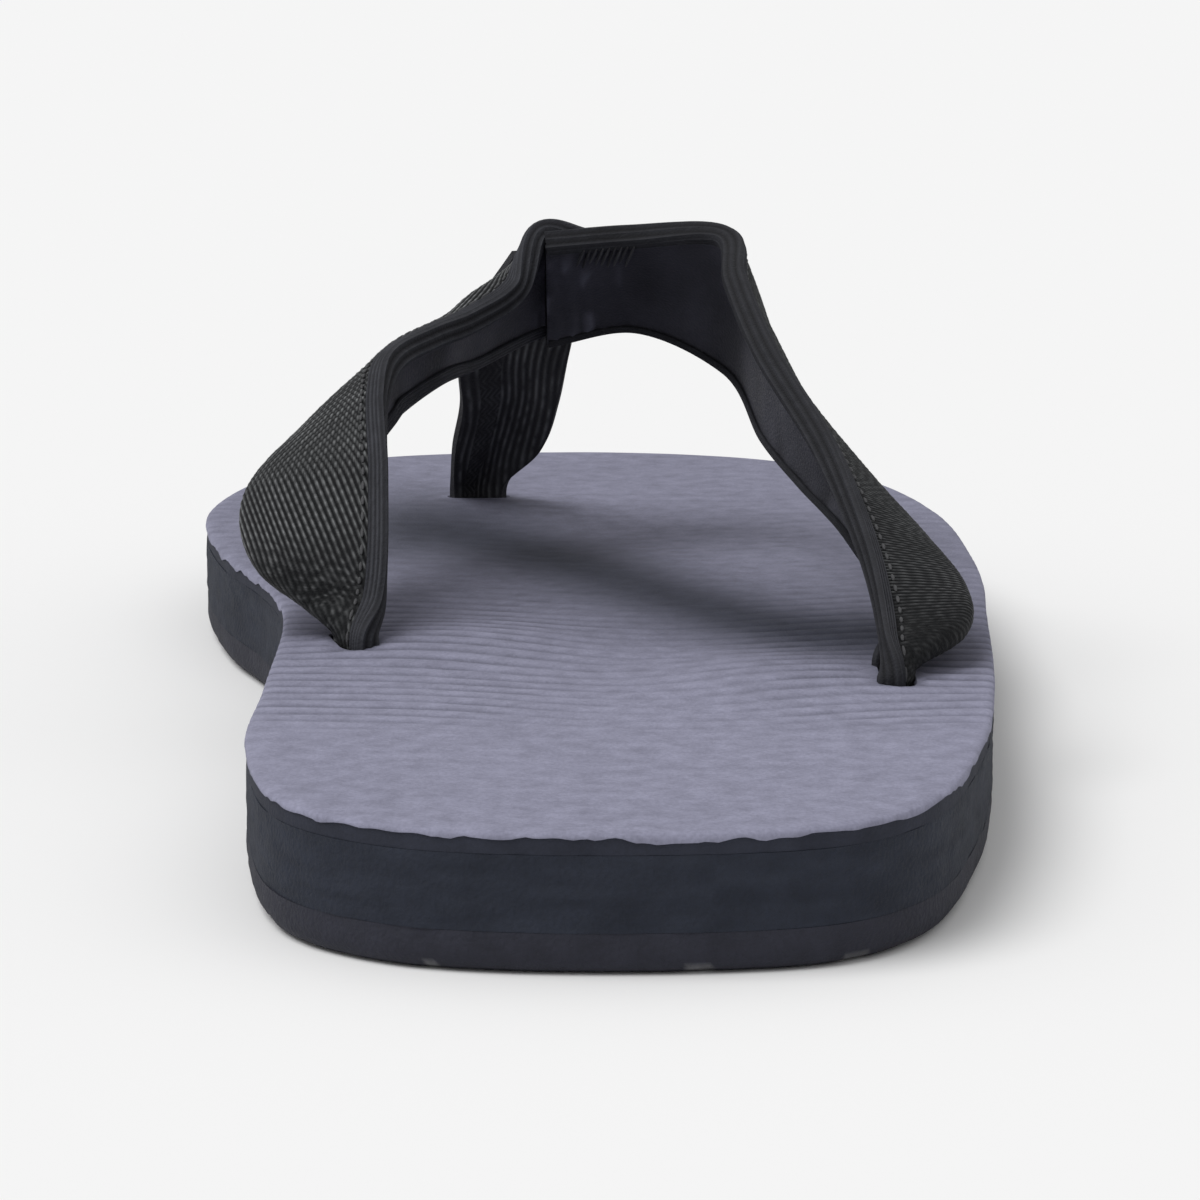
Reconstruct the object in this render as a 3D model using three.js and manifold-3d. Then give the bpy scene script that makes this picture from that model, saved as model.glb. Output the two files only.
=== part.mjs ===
// A right-foot flip flop: a laminated foam sole with an inlaid footbed, and a fabric Y strap
// of two lined webbing arms and a webbing toe post, each held under the sole by a moulded plug.
//
// Frame: millimetres, +Z up, +Y from the heel to the toe, +X to the outer (lateral) side of the
// foot. While the parts are made, y is measured from the heel edge, x from the foot's line and z
// from the ground; the finished group is moved so that the origin is the middle of its footprint.

import * as THREE from "three";
import { mergeVertices } from "three/addons/utils/BufferGeometryUtils.js";
import Module from "manifold-3d";

const wasm = await Module();
wasm.setup();

// ---- Sole ----
const SOLE_LENGTH = 272;
const OUTSOLE_THICKNESS = 4.5;
const MIDSOLE_THICKNESS = 10.5;
const COVER_THICKNESS = 2;
const COVER_RIM = 1; // foam left standing round the inlaid footbed
const FIT_GAP = 0.3; // round every piece that is dropped into a recess
const OUTLINE_STEPS = 4; // straight pieces between two outline points

// The outline from the heel forward: distance along the sole, then the reach to the inner
// (medial) and outer (lateral) edge.
const HEEL_ROWS = [
  { along: 0, medial: 10, lateral: 12 },
  { along: 4, medial: 22.6, lateral: 25.3 },
  { along: 15, medial: 33, lateral: 34.4 },
  { along: 45, medial: 39, lateral: 42 },
  { along: 80, medial: 39.2, lateral: 46 },
];
// The outline from the waist to the toe, with the distance measured back from the toe end.
const TOE_ROWS = [
  { back: 142, medial: 40, lateral: 48.8 },
  { back: 119, medial: 44.2, lateral: 50 },
  { back: 97, medial: 50.7, lateral: 50 },
  { back: 62, medial: 55.5, lateral: 48 },
  { back: 34, medial: 51.6, lateral: 41.8 },
  { back: 17, medial: 44.6, lateral: 34 },
  { back: 5, medial: 32, lateral: 20 },
];
const TOE_TIP_X = -6;

// ---- Tread ----
const GROOVE_PITCH = 15;
const GROOVE_WIDTH = 5;
const GROOVE_DEPTH = 1.2;
const GROOVE_END_MARGIN = 9; // from a groove's end to the edge of the sole
const GROOVE_FIRST = 16;

// ---- Footbed contour ----
const MOUND_RISE = 1.2; // beside each side slot
const MOUND_RADIUS = 24;
const MOUND_FROM_SLOT = 13;
const HOLLOW_DEPTH = 0.9; // under the toes
const HOLLOW_RADIUS = 34;
const HOLLOW_BEHIND_TOE_HOLE = 34;
const HOLLOW_X = -4;
const CONTOUR_COLUMNS = 12;
const CONTOUR_ROWS = 28;

// ---- Strap openings in the sole ----
const MEDIAL_SLOT_ALONG = 107;
const MEDIAL_SLOT_INSET = 9; // from the edge of the sole to the slot's middle
const MEDIAL_SLOT_TURN = -12; // degrees from straight ahead
const LATERAL_SLOT_ALONG = 84;
const LATERAL_SLOT_INSET = 11.5;
const LATERAL_SLOT_TURN = 0;
const SIDE_SLOT_LENGTH = 15;
const TOE_HOLE_BACK = 46; // from the toe end
const TOE_HOLE_X = -17.5;
const TOE_HOLE_LENGTH = 11;
const TOE_HOLE_TURN = 90;
const TAIL_FOLD = 2.4; // depth of the fold that a strap takes in its opening
const TAIL_CLEARANCE = 0.6; // between a strap's faces and the sides of its opening
const TAIL_END_CLEARANCE = 1.8; // between a strap's edges and the round ends
const TAIL_STANDS = 1.5; // how far a strap rises straight out of its opening

// ---- Anchor plugs ----
const FLANGE_MARGIN = 3.6;
const FLANGE_THICKNESS = 2.5;
const COLLAR_WALL = 1.5;
const COLLAR_HEIGHT = 3;
const PLUG_FLOOR = 1;

// ---- Strap ----
const WEBBING_THICKNESS = 1.3;
const LINING_THICKNESS = 0.5;
const LAYER_GAP = 0.34; // glue line between webbing and lining
const JUNCTION_HEIGHT = 41.8; // top edge of the junction above the footbed
const JUNCTION_BACK = 92; // from the toe end
const JUNCTION_TO_MEDIAL = 7.5; // from the junction's middle to its two ends
const JUNCTION_TO_LATERAL = 16;
const LAP_GAP = 0.8; // between the two webbings where they are stitched over one another
const BINDING_THICKNESS = 0.4;
const BINDING_DEPTH = 2.2; // how far a binding reaches onto the webbing
const BINDING_GAP = 0.2;
const STITCH_INSET = 3.6; // from the edge of the webbing to the stitch row
const THREAD_RADIUS = 0.3;
const STEPS_PER_STATION = 3; // straight pieces between two stations of a strap
const STRAP_COLUMNS = 7; // across a strap

const FOOTBED_Z = OUTSOLE_THICKNESS + MIDSOLE_THICKNESS;
const JUNCTION_Y = SOLE_LENGTH - JUNCTION_BACK;
const TOE_HOLE_Y = SOLE_LENGTH - TOE_HOLE_BACK;
const WEBBING = { low: LAYER_GAP / 2, high: LAYER_GAP / 2 + WEBBING_THICKNESS };
const LINING = { low: -LAYER_GAP / 2 - LINING_THICKNESS, high: -LAYER_GAP / 2 };
const TOE_WEBBING = { low: -WEBBING_THICKNESS / 2, high: WEBBING_THICKNESS / 2 };
const LAP_LIFT = WEBBING_THICKNESS + LAP_GAP;

// ---------------------------------------------------------------- geometry helpers

function bare(geometry) {
  const plain = geometry.index ? geometry.toNonIndexed() : geometry.clone();
  plain.deleteAttribute("normal");
  plain.deleteAttribute("uv");
  return mergeVertices(plain, 1e-4);
}

function solidFrom(geometry) {
  const merged = bare(geometry);
  return new wasm.Manifold(
    new wasm.Mesh({
      numProp: 3,
      vertProperties: merged.attributes.position.array,
      triVerts: new Uint32Array(merged.index.array),
    }),
  );
}

function geometryFrom(solid) {
  const mesh = solid.getMesh();
  const geometry = new THREE.BufferGeometry();
  geometry.setAttribute("position", new THREE.BufferAttribute(mesh.vertProperties, 3));
  geometry.setIndex(new THREE.BufferAttribute(mesh.triVerts, 1));
  const flat = geometry.toNonIndexed();
  flat.computeVertexNormals();
  return flat;
}

// A prism on a closed plan outline, from height z0 to z1.
function prism(points, z0, z1) {
  const shape = new THREE.Shape(points);
  const geometry = new THREE.ExtrudeGeometry(shape, { depth: z1 - z0, bevelEnabled: false });
  geometry.translate(0, 0, z0);
  return solidFrom(geometry);
}

// A plan outline with straight sides and round ends, turned about its middle.
function stadium({ x, y, turn }, length, width) {
  const radius = width / 2;
  const reach = length / 2 - radius;
  const arcPoints = 7;
  const points = [];
  for (const end of [1, -1]) {
    for (let i = 0; i < arcPoints; i++) {
      const angle = Math.PI * (i / (arcPoints - 1)) + (end > 0 ? 0 : Math.PI);
      points.push(new THREE.Vector2(radius * Math.cos(angle), end * reach + radius * Math.sin(angle)));
    }
  }
  const radians = THREE.MathUtils.degToRad(-turn);
  const middle = new THREE.Vector2();
  return points.map((p) => p.rotateAround(middle, radians).add(new THREE.Vector2(x, y)));
}

// A closed solid through a row of rings that all have the same layout as `section`, a plan of
// the ring's own outline used to fill the two ends.
function loft(rings, section) {
  const count = section.length;
  const positions = rings.flat().flatMap((p) => [p.x, p.y, p.z]);
  const index = [];
  for (let i = 0; i + 1 < rings.length; i++) {
    for (let j = 0; j < count; j++) {
      const next = (j + 1) % count;
      const [a, b] = [i * count + j, i * count + next];
      const [c, d] = [a + count, b + count];
      index.push(a, b, d, a, d, c);
    }
  }
  const last = (rings.length - 1) * count;
  const clockwise = THREE.ShapeUtils.isClockWise(section);
  for (const triangle of THREE.ShapeUtils.triangulateShape(section, [])) {
    const [a, b, c] = clockwise ? triangle.toReversed() : triangle;
    index.push(a, c, b, last + a, last + b, last + c);
  }
  const geometry = new THREE.BufferGeometry();
  geometry.setAttribute("position", new THREE.Float32BufferAttribute(positions, 3));
  geometry.setIndex(index);
  return facingOut(geometry);
}

function facingOut(geometry) {
  const at = geometry.attributes.position;
  const index = geometry.index.array;
  const [a, b, c] = [new THREE.Vector3(), new THREE.Vector3(), new THREE.Vector3()];
  let volume = 0;
  for (let i = 0; i < index.length; i += 3) {
    a.fromBufferAttribute(at, index[i]);
    b.fromBufferAttribute(at, index[i + 1]);
    c.fromBufferAttribute(at, index[i + 2]);
    volume += a.dot(b.cross(c));
  }
  if (volume < 0) {
    for (let i = 0; i < index.length; i += 3) {
      [index[i + 1], index[i + 2]] = [index[i + 2], index[i + 1]];
    }
  }
  const flat = geometry.toNonIndexed();
  flat.computeVertexNormals();
  return flat;
}

// ---------------------------------------------------------------- sole

function soleOutline() {
  const rows = [
    ...HEEL_ROWS.map((row) => ({ ...row, y: row.along })),
    ...TOE_ROWS.map((row) => ({ ...row, y: SOLE_LENGTH - row.back })),
  ];
  const lateralSide = rows.map((row) => new THREE.Vector3(row.lateral, row.y, 0));
  const medialSide = rows.map((row) => new THREE.Vector3(-row.medial, row.y, 0)).reverse();
  const toeTip = new THREE.Vector3(TOE_TIP_X, SOLE_LENGTH, 0);
  const knots = [...lateralSide, toeTip, ...medialSide];
  const curve = new THREE.CatmullRomCurve3(knots, true, "centripetal");
  const points = curve.getPoints(knots.length * OUTLINE_STEPS).slice(0, -1);
  return points.map((p) => new THREE.Vector2(p.x, p.y));
}

// The outline moved inward by a distance.
function inset(outline, distance) {
  return outline.map((point, i) => {
    const before = outline.at(i - 1);
    const after = outline[(i + 1) % outline.length];
    const along = after.clone().sub(before).normalize();
    return new THREE.Vector2(point.x - along.y * distance, point.y + along.x * distance);
  });
}

const OUTLINE = soleOutline();

// Where the edge of the sole lies on one side (-1 medial, 1 lateral) at a distance from the heel.
function edgeX(side, y) {
  let found = 0;
  OUTLINE.forEach((a, i) => {
    const b = OUTLINE[(i + 1) % OUTLINE.length];
    const crosses = a.y <= y !== b.y <= y;
    const x = a.x + ((b.x - a.x) * (y - a.y)) / (b.y - a.y);
    if (crosses && x * side > found * side) found = x;
  });
  return found;
}

// A strap opening: its place, its size, and the layers of the strap that it holds. The strap's
// fold is hollow towards +X or -X before the opening is turned.
const openingWidth = (low, high) => TAIL_FOLD + (high - low) + 2 * TAIL_CLEARANCE;
const MEDIAL_SLOT = {
  x: edgeX(-1, MEDIAL_SLOT_ALONG) + MEDIAL_SLOT_INSET,
  y: MEDIAL_SLOT_ALONG,
  turn: MEDIAL_SLOT_TURN,
  length: SIDE_SLOT_LENGTH,
  width: openingWidth(LINING.low, WEBBING.high),
  shift: (LINING.low + WEBBING.high) / 2,
  hollow: 1,
};
const LATERAL_SLOT = {
  x: edgeX(1, LATERAL_SLOT_ALONG) - LATERAL_SLOT_INSET,
  y: LATERAL_SLOT_ALONG,
  turn: LATERAL_SLOT_TURN,
  length: SIDE_SLOT_LENGTH,
  width: openingWidth(LINING.low, WEBBING.high),
  shift: (LINING.low + WEBBING.high) / 2,
  hollow: -1,
};
const TOE_HOLE = {
  x: TOE_HOLE_X,
  y: TOE_HOLE_Y,
  turn: TOE_HOLE_TURN,
  length: TOE_HOLE_LENGTH,
  width: openingWidth(TOE_WEBBING.low, TOE_WEBBING.high),
  shift: 0,
  hollow: 1,
};
const OPENINGS = [MEDIAL_SLOT, LATERAL_SLOT, TOE_HOLE];

// A prism round a strap opening that stands `margin` outside it.
function openingPrism(opening, margin, z0, z1) {
  const plan = stadium(opening, opening.length + 2 * margin, opening.width + 2 * margin);
  return prism(plan, z0, z1);
}

function outsole() {
  let solid = prism(OUTLINE, 0, OUTSOLE_THICKNESS);
  for (let y = GROOVE_FIRST; y < SOLE_LENGTH - GROOVE_FIRST; y += GROOVE_PITCH) {
    const ends = [-1, 1].map((side) => {
      const edges = [y, y + GROOVE_WIDTH].map((at) => Math.abs(edgeX(side, at)));
      return side * (Math.min(...edges) - GROOVE_END_MARGIN);
    });
    const groove = new THREE.BoxGeometry(ends[1] - ends[0], GROOVE_WIDTH, 2 * GROOVE_DEPTH);
    groove.translate((ends[0] + ends[1]) / 2, y + GROOVE_WIDTH / 2, 0);
    solid = solid.subtract(solidFrom(groove));
  }
  return geometryFrom(solid);
}

function midsole() {
  let solid = prism(OUTLINE, OUTSOLE_THICKNESS, FOOTBED_Z);
  const recess = prism(inset(OUTLINE, COVER_RIM), FOOTBED_Z - COVER_THICKNESS, FOOTBED_Z + 1);
  solid = solid.subtract(recess);
  for (const opening of OPENINGS) {
    const flangeTop = OUTSOLE_THICKNESS + FLANGE_THICKNESS + FIT_GAP;
    const collarTop = flangeTop + COLLAR_HEIGHT;
    solid = solid
      .subtract(openingPrism(opening, FLANGE_MARGIN + FIT_GAP, 0, flangeTop))
      .subtract(openingPrism(opening, COLLAR_WALL + FIT_GAP, 0, collarTop))
      .subtract(openingPrism(opening, 0, 0, FOOTBED_Z + 1));
  }
  return geometryFrom(solid);
}

// A smooth bump of height 1 that falls to nothing at its radius.
function bump(x, y, centreX, centreY, radius) {
  const share = Math.min(1, Math.hypot(x - centreX, y - centreY) / radius);
  return (1 + Math.cos(Math.PI * share)) / 2;
}

function footbedRise(x, y) {
  const medial = bump(x, y, MEDIAL_SLOT.x + MOUND_FROM_SLOT, MEDIAL_SLOT.y, MOUND_RADIUS);
  const lateral = bump(x, y, LATERAL_SLOT.x - MOUND_FROM_SLOT, LATERAL_SLOT.y, MOUND_RADIUS);
  const hollow = bump(x, y, HOLLOW_X, TOE_HOLE_Y - HOLLOW_BEHIND_TOE_HOLE, HOLLOW_RADIUS);
  return MOUND_RISE * Math.max(medial, lateral) - HOLLOW_DEPTH * hollow;
}

// Everything above the footbed's contour, as one block to cut with.
function aboveContour() {
  const bounds = new THREE.Box2().setFromPoints(OUTLINE).expandByScalar(1);
  const size = bounds.getSize(new THREE.Vector2());
  const top = FOOTBED_Z + 2 * MOUND_RISE + 1;
  const rings = [];
  const section = [];
  for (let j = 0; j <= CONTOUR_COLUMNS; j++) section.push(new THREE.Vector2(j, 0));
  section.push(new THREE.Vector2(CONTOUR_COLUMNS, 1), new THREE.Vector2(0, 1));
  for (let i = 0; i <= CONTOUR_ROWS; i++) {
    const y = bounds.min.y + (size.y * i) / CONTOUR_ROWS;
    const ring = [];
    for (let j = 0; j <= CONTOUR_COLUMNS; j++) {
      const x = bounds.min.x + (size.x * j) / CONTOUR_COLUMNS;
      ring.push(new THREE.Vector3(x, y, FOOTBED_Z + footbedRise(x, y)));
    }
    ring.push(new THREE.Vector3(bounds.max.x, y, top), new THREE.Vector3(bounds.min.x, y, top));
    rings.push(ring);
  }
  return solidFrom(loft(rings, section));
}

function footbedCover() {
  const plan = inset(OUTLINE, COVER_RIM + FIT_GAP);
  let solid = prism(plan, FOOTBED_Z - COVER_THICKNESS, FOOTBED_Z + 2 * MOUND_RISE);
  solid = solid.subtract(aboveContour());
  for (const opening of OPENINGS) {
    solid = solid.subtract(openingPrism(opening, 0, 0, FOOTBED_Z + 3 * MOUND_RISE));
  }
  return geometryFrom(solid);
}

// ---------------------------------------------------------------- anchor plugs

function anchorPlug(opening) {
  const flangeTop = OUTSOLE_THICKNESS + FLANGE_THICKNESS;
  const collarTop = flangeTop + COLLAR_HEIGHT;
  const solid = openingPrism(opening, FLANGE_MARGIN, OUTSOLE_THICKNESS, flangeTop)
    .add(openingPrism(opening, COLLAR_WALL, OUTSOLE_THICKNESS, collarTop))
    .subtract(openingPrism(opening, 0, OUTSOLE_THICKNESS + PLUG_FLOOR, collarTop + 1));
  return geometryFrom(solid);
}

// ---------------------------------------------------------------- strap surfaces

const vector = (values) => new THREE.Vector3(...values);
const JUNCTION = new THREE.Vector3(0, JUNCTION_Y, FOOTBED_Z + JUNCTION_HEIGHT);
const TAIL_END_Z = OUTSOLE_THICKNESS + PLUG_FLOOR + FIT_GAP;

// A strap runs through stations, each with its rear edge, its crown and its front edge. A
// station of an arm is given by how far along the straight line from the slot to the junction it
// lies, and by the three points measured from that place on the line.
const MEDIAL_STATIONS = [
  { along: 0.045, rear: [2.6, -2.8, 2.7], crown: [-5.8, -0.3, 3.1], front: [-3.8, 6.7, 1.1] },
  { along: 0.1, rear: [1.5, -1.9, 5.1], crown: [-12.7, -1.9, 5.1], front: [-8.2, 5.6, 0.9] },
  { along: 0.25, rear: [-2.3, 0, 7], crown: [-18.2, -2.9, 4.9], front: [-15, 4.1, -2.3] },
  { along: 0.45, rear: [-7.4, 0.4, 6.9], crown: [-16.4, -1.6, 3], front: [-13.6, 6.4, -5] },
  { along: 0.6, rear: [-9.4, -0.6, 4.3], crown: [-12.9, 1.4, 2.1], front: [-11, 7.4, -4.7] },
  { along: 0.75, rear: [-8.1, -1.6, -0.2], crown: [-13.1, 1.4, -2.2], front: [-13.1, 4.4, -9.9] },
  { along: 0.87, rear: [-5.8, -2.4, -3.9], crown: [-9.4, 1.6, -4.7], front: [-11.3, 4.6, -12.5] },
  { along: 0.95, rear: [-1.8, -1.3, -3.8], crown: [-7.3, 2.7, -5.4], front: [-8.8, 10.7, -15.3] },
];
const LATERAL_STATIONS = [
  { along: 0.07, rear: [-0.3, 0, 2.7], crown: [8.7, 2.4, 1.3], front: [2.6, 9, 0.9] },
  { along: 0.2, rear: [1.2, -0.4, 1.7], crown: [11.9, 1.2, -1.8], front: [5.2, 10.9, -4.6] },
  { along: 0.35, rear: [1.8, -0.6, 0.8], crown: [11.2, 1.4, -4.8], front: [5.5, 11.4, -9.1] },
  { along: 0.5, rear: [1.6, -0.8, 0.2], crown: [8.4, 4.2, -6.9], front: [5.6, 11.2, -12.6] },
  { along: 0.7, rear: [-1, 0.3, 0.7], crown: [5.2, 1.8, -8.9], front: [5.2, 8.3, -18.1] },
  { along: 0.86, rear: [-1.4, 0.2, 1.3], crown: [3.7, 2.2, -8.8], front: [4, 10.2, -21.5] },
  { along: 1, rear: [0, 0, 0], crown: [1.6, 6, -8.2], front: [1.6, 15, -20.2] },
];
// The junction's own stations, measured from its middle: half way along it, and at its inner end.
const JUNCTION_MIDDLE = { rear: [4, 1.5, 0.2], crown: [4, 11, -6.5], front: [5, 19.5, -14.1] };
const JUNCTION_INNER_END = {
  rear: [-JUNCTION_TO_MEDIAL, 0, -0.6],
  crown: [-JUNCTION_TO_MEDIAL, 10, -7.3],
  front: [-JUNCTION_TO_MEDIAL, 18.5, -16.1],
};
// The end of the inner arm, where it laps over the outer arm.
const LAP_END = { rear: [-0.8, 1, -0.6], crown: [-0.5, 10.8, -6.7], front: [0, 19.2, -14.6] };
// The toe post, from the toe hole to the junction: its two edges are called rear and front too.
const TOE_STATIONS = [
  { along: 0.2, rear: [-6.8, 0, 0], crown: [-0.5, 2.7, 0.9], front: [5.8, 0, 0] },
  { along: 0.4, rear: [-9, 1.5, -1.2], crown: [-2.4, 4, -0.2], front: [4.6, 1.5, -1] },
  { along: 0.6, rear: [-12.6, 6.1, -3.1], crown: [-5.2, 7.6, -2.5], front: [2.6, 6.1, -2.1] },
  { along: 0.78, rear: [-13.7, 12.9, -3.6], crown: [-6.2, 13.5, -3], front: [1, 12.9, -2.6] },
  { along: 0.92, rear: [-10.6, 12.2, -0.1], crown: [-4.6, 12.5, 0.3], front: [1.9, 11.9, 0.5] },
];

function placed(station, origin) {
  return {
    rear: vector(station.rear).add(origin),
    crown: vector(station.crown).add(origin),
    front: vector(station.front).add(origin),
  };
}

// The tail of a strap inside its opening: a shallow fold, centred with all its layers.
function tailStations(opening) {
  const reach = opening.length / 2 - TAIL_END_CLEARANCE;
  const edgeSide = opening.hollow * (opening.shift + TAIL_FOLD / 2);
  const crownSide = opening.hollow * (opening.shift - TAIL_FOLD / 2);
  const radians = THREE.MathUtils.degToRad(-opening.turn);
  const upright = new THREE.Vector3(0, 0, 1);
  const section = {
    rear: vector([edgeSide, -reach, 0]),
    crown: vector([crownSide, 0, 0]),
    front: vector([edgeSide, reach, 0]),
  };
  const heights = [TAIL_END_Z, FOOTBED_Z - COVER_THICKNESS, FOOTBED_Z + TAIL_STANDS];
  return heights.map((z) => {
    const turned = Object.values(section).map((p) => {
      return p.clone().applyAxisAngle(upright, radians).add(vector([opening.x, opening.y, z]));
    });
    return { rear: turned[0], crown: turned[1], front: turned[2] };
  });
}

function armStations(opening, stations, end) {
  const start = vector([opening.x, opening.y, FOOTBED_Z]);
  const run = stations.map((station) => {
    return placed(station, start.clone().lerp(end, station.along));
  });
  return [...tailStations(opening), ...run];
}

function lifted(station, lift) {
  const up = new THREE.Vector3(0, 1, 1).setLength(lift);
  return placed(station, JUNCTION.clone().add(up));
}

// The smooth surface through a strap's stations: u runs along it, v from rear to front edge.
function strapSurface(stations, outward) {
  const rail = (name) => new THREE.CatmullRomCurve3(stations.map((station) => station[name]));
  const rails = [rail("rear"), rail("crown"), rail("front")];
  const point = (u, v) => {
    const across = new THREE.CatmullRomCurve3(rails.map((curve) => curve.getPoint(u)));
    return across.getPoint(v);
  };
  const small = 1e-3;
  const within = (value) => Math.min(1, Math.max(0, value));
  const slope = (from, to) => point(...to).sub(point(...from));
  const acrossAt = (u, v) => slope([u, within(v - small)], [u, within(v + small)]);
  const alongAt = (u, v) => slope([within(u - small), v], [within(u + small), v]);
  const normal = (u, v) => alongAt(u, v).cross(acrossAt(u, v)).setLength(outward);
  return { point, normal, acrossAt, last: stations.length - 1 };
}

function offsetPoint(surface, u, v, offset) {
  return surface.point(u, v).addScaledVector(surface.normal(u, v), offset);
}

// The place at a distance in from the rear (edge 0) or front (edge 1) edge, or beyond it when
// the distance is negative, at a height over the surface.
function edgePoint(surface, u, edge, distance, offset) {
  const inward = edge ? -1 : 1;
  const nearStep = 0.04;
  const pace = surface.point(u, edge).distanceTo(surface.point(u, edge + inward * nearStep));
  if (distance >= 0) {
    return offsetPoint(surface, u, edge + (inward * nearStep * distance) / pace, offset);
  }
  const beyond = surface.acrossAt(u, edge).setLength(inward * distance);
  return offsetPoint(surface, u, edge, offset).add(beyond);
}

function steps(from, to, count) {
  return Array.from({ length: count + 1 }, (_, i) => from + ((to - from) * i) / count);
}

// The shares of the way along a strap at which its pieces have a ring, between two stations.
function sharesBetween(surface, [from, to]) {
  const count = Math.round((to - from) * STEPS_PER_STATION);
  return steps(from, to, count).map((station) => station / surface.last);
}

// One layer of a strap between two heights over its surface.
function layer(surface, { low, high }, stations) {
  const columns = steps(0, 1, STRAP_COLUMNS);
  const section = [
    ...columns.map((v) => new THREE.Vector2(v, high)),
    ...columns.toReversed().map((v) => new THREE.Vector2(v, low)),
  ];
  const rings = sharesBetween(surface, stations).map((u) => {
    return section.map(({ x: v, y: offset }) => offsetPoint(surface, u, v, offset));
  });
  return loft(rings, section);
}

// A folded tape round one edge of an arm.
function binding(surface, edge, stations) {
  const inner = { low: LINING.low - BINDING_GAP, high: WEBBING.high + BINDING_GAP };
  const outer = { low: inner.low - BINDING_THICKNESS, high: inner.high + BINDING_THICKNESS };
  const back = -BINDING_GAP;
  const section = [
    [BINDING_DEPTH, inner.high],
    [back, inner.high],
    [back, inner.low],
    [BINDING_DEPTH, inner.low],
    [BINDING_DEPTH, outer.low],
    [back - BINDING_THICKNESS, outer.low],
    [back - BINDING_THICKNESS, outer.high],
    [BINDING_DEPTH, outer.high],
  ].map((pair) => new THREE.Vector2(...pair));
  const rings = sharesBetween(surface, stations).map((u) => {
    return section.map(({ x, y }) => edgePoint(surface, u, edge, x, y));
  });
  return loft(rings, section);
}

// A round cord through points, with a normal at each that it is not parallel to.
function cord(points, normals, radius) {
  const sides = 5;
  const circle = steps(0, 2 * Math.PI, sides).slice(0, -1);
  const section = circle.map((angle) => new THREE.Vector2(Math.cos(angle), Math.sin(angle)));
  const rings = points.map((point, i) => {
    const before = points[Math.max(0, i - 1)];
    const after = points[Math.min(points.length - 1, i + 1)];
    const side = after.clone().sub(before).cross(normals[i]).normalize();
    return section.map(({ x, y }) => {
      return point.clone().addScaledVector(normals[i], radius * x).addScaledVector(side, radius * y);
    });
  });
  return loft(rings, section);
}

function stitching(surface, edge, stations) {
  const height = WEBBING.high + BINDING_GAP + THREAD_RADIUS;
  const stops = sharesBetween(surface, stations);
  const points = stops.map((u) => edgePoint(surface, u, edge, STITCH_INSET, height));
  const normals = stops.map((u) => surface.normal(u, edge));
  return cord(points, normals, THREAD_RADIUS);
}

// ---------------------------------------------------------------- assembly

const MEDIAL_END = JUNCTION.clone().add(vector(JUNCTION_INNER_END.rear));
const LATERAL_END = JUNCTION.clone().add(vector([JUNCTION_TO_LATERAL, -2, 0.9]));
const MEDIAL_ARM = strapSurface(
  [
    ...armStations(MEDIAL_SLOT, MEDIAL_STATIONS, MEDIAL_END),
    lifted(JUNCTION_INNER_END, LAP_LIFT),
    lifted(LAP_END, LAP_LIFT),
  ],
  1,
);
const LATERAL_ARM = strapSurface(
  [
    ...armStations(LATERAL_SLOT, LATERAL_STATIONS, LATERAL_END),
    lifted(JUNCTION_MIDDLE, 0),
    lifted(JUNCTION_INNER_END, 0),
  ],
  -1,
);
const TOE_POST = strapSurface(armStations(TOE_HOLE, TOE_STATIONS, JUNCTION), 1);

// The zigzag of thread that closes the junction, on its inner side just under the top edge.
function barTack() {
  const turns = 9;
  const height = LINING.low - BINDING_GAP - THREAD_RADIUS;
  const start = (LATERAL_ARM.last - 1) / LATERAL_ARM.last;
  const stops = steps(start, 0.985, turns).map((u, i) => [u, 0.1 + 0.1 * (i % 2)]);
  const points = stops.map(([u, v]) => offsetPoint(LATERAL_ARM, u, v, height));
  const normals = stops.map(([u, v]) => LATERAL_ARM.normal(u, v));
  return cord(points, normals, THREAD_RADIUS);
}

const FOAM_DARK = { color: 0x24272f, roughness: 0.85 };
const RUBBER = { color: 0x26242b, roughness: 0.75 };
const COVER_FOAM = { color: 0x8b8998, roughness: 0.9 };
const WEBBING_CLOTH = { color: 0x1b1d21, roughness: 0.9 };
const LINING_CLOTH = { color: 0x15171d, roughness: 0.7 };
const BINDING_TAPE = { color: 0x2a2c31, roughness: 0.8 };
const THREAD = { color: 0x303238, roughness: 0.6 };
const PLUG_PLASTIC = { color: 0x1d1e22, roughness: 0.5 };

const part = new THREE.Group();
part.name = "flip_flop";

function add(name, geometry, look) {
  const mesh = new THREE.Mesh(geometry, new THREE.MeshStandardMaterial(look));
  mesh.name = name;
  part.add(mesh);
}

add("outsole", outsole(), RUBBER);
add("midsole", midsole(), FOAM_DARK);
add("footbed_cover", footbedCover(), COVER_FOAM);
add("medial_anchor_plug", anchorPlug(MEDIAL_SLOT), PLUG_PLASTIC);
add("lateral_anchor_plug", anchorPlug(LATERAL_SLOT), PLUG_PLASTIC);
add("toe_anchor_plug", anchorPlug(TOE_HOLE), PLUG_PLASTIC);

add("toe_post_webbing", layer(TOE_POST, TOE_WEBBING, [0, TOE_POST.last]), WEBBING_CLOTH);
add("junction_bar_tack", barTack(), THREAD);

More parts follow.
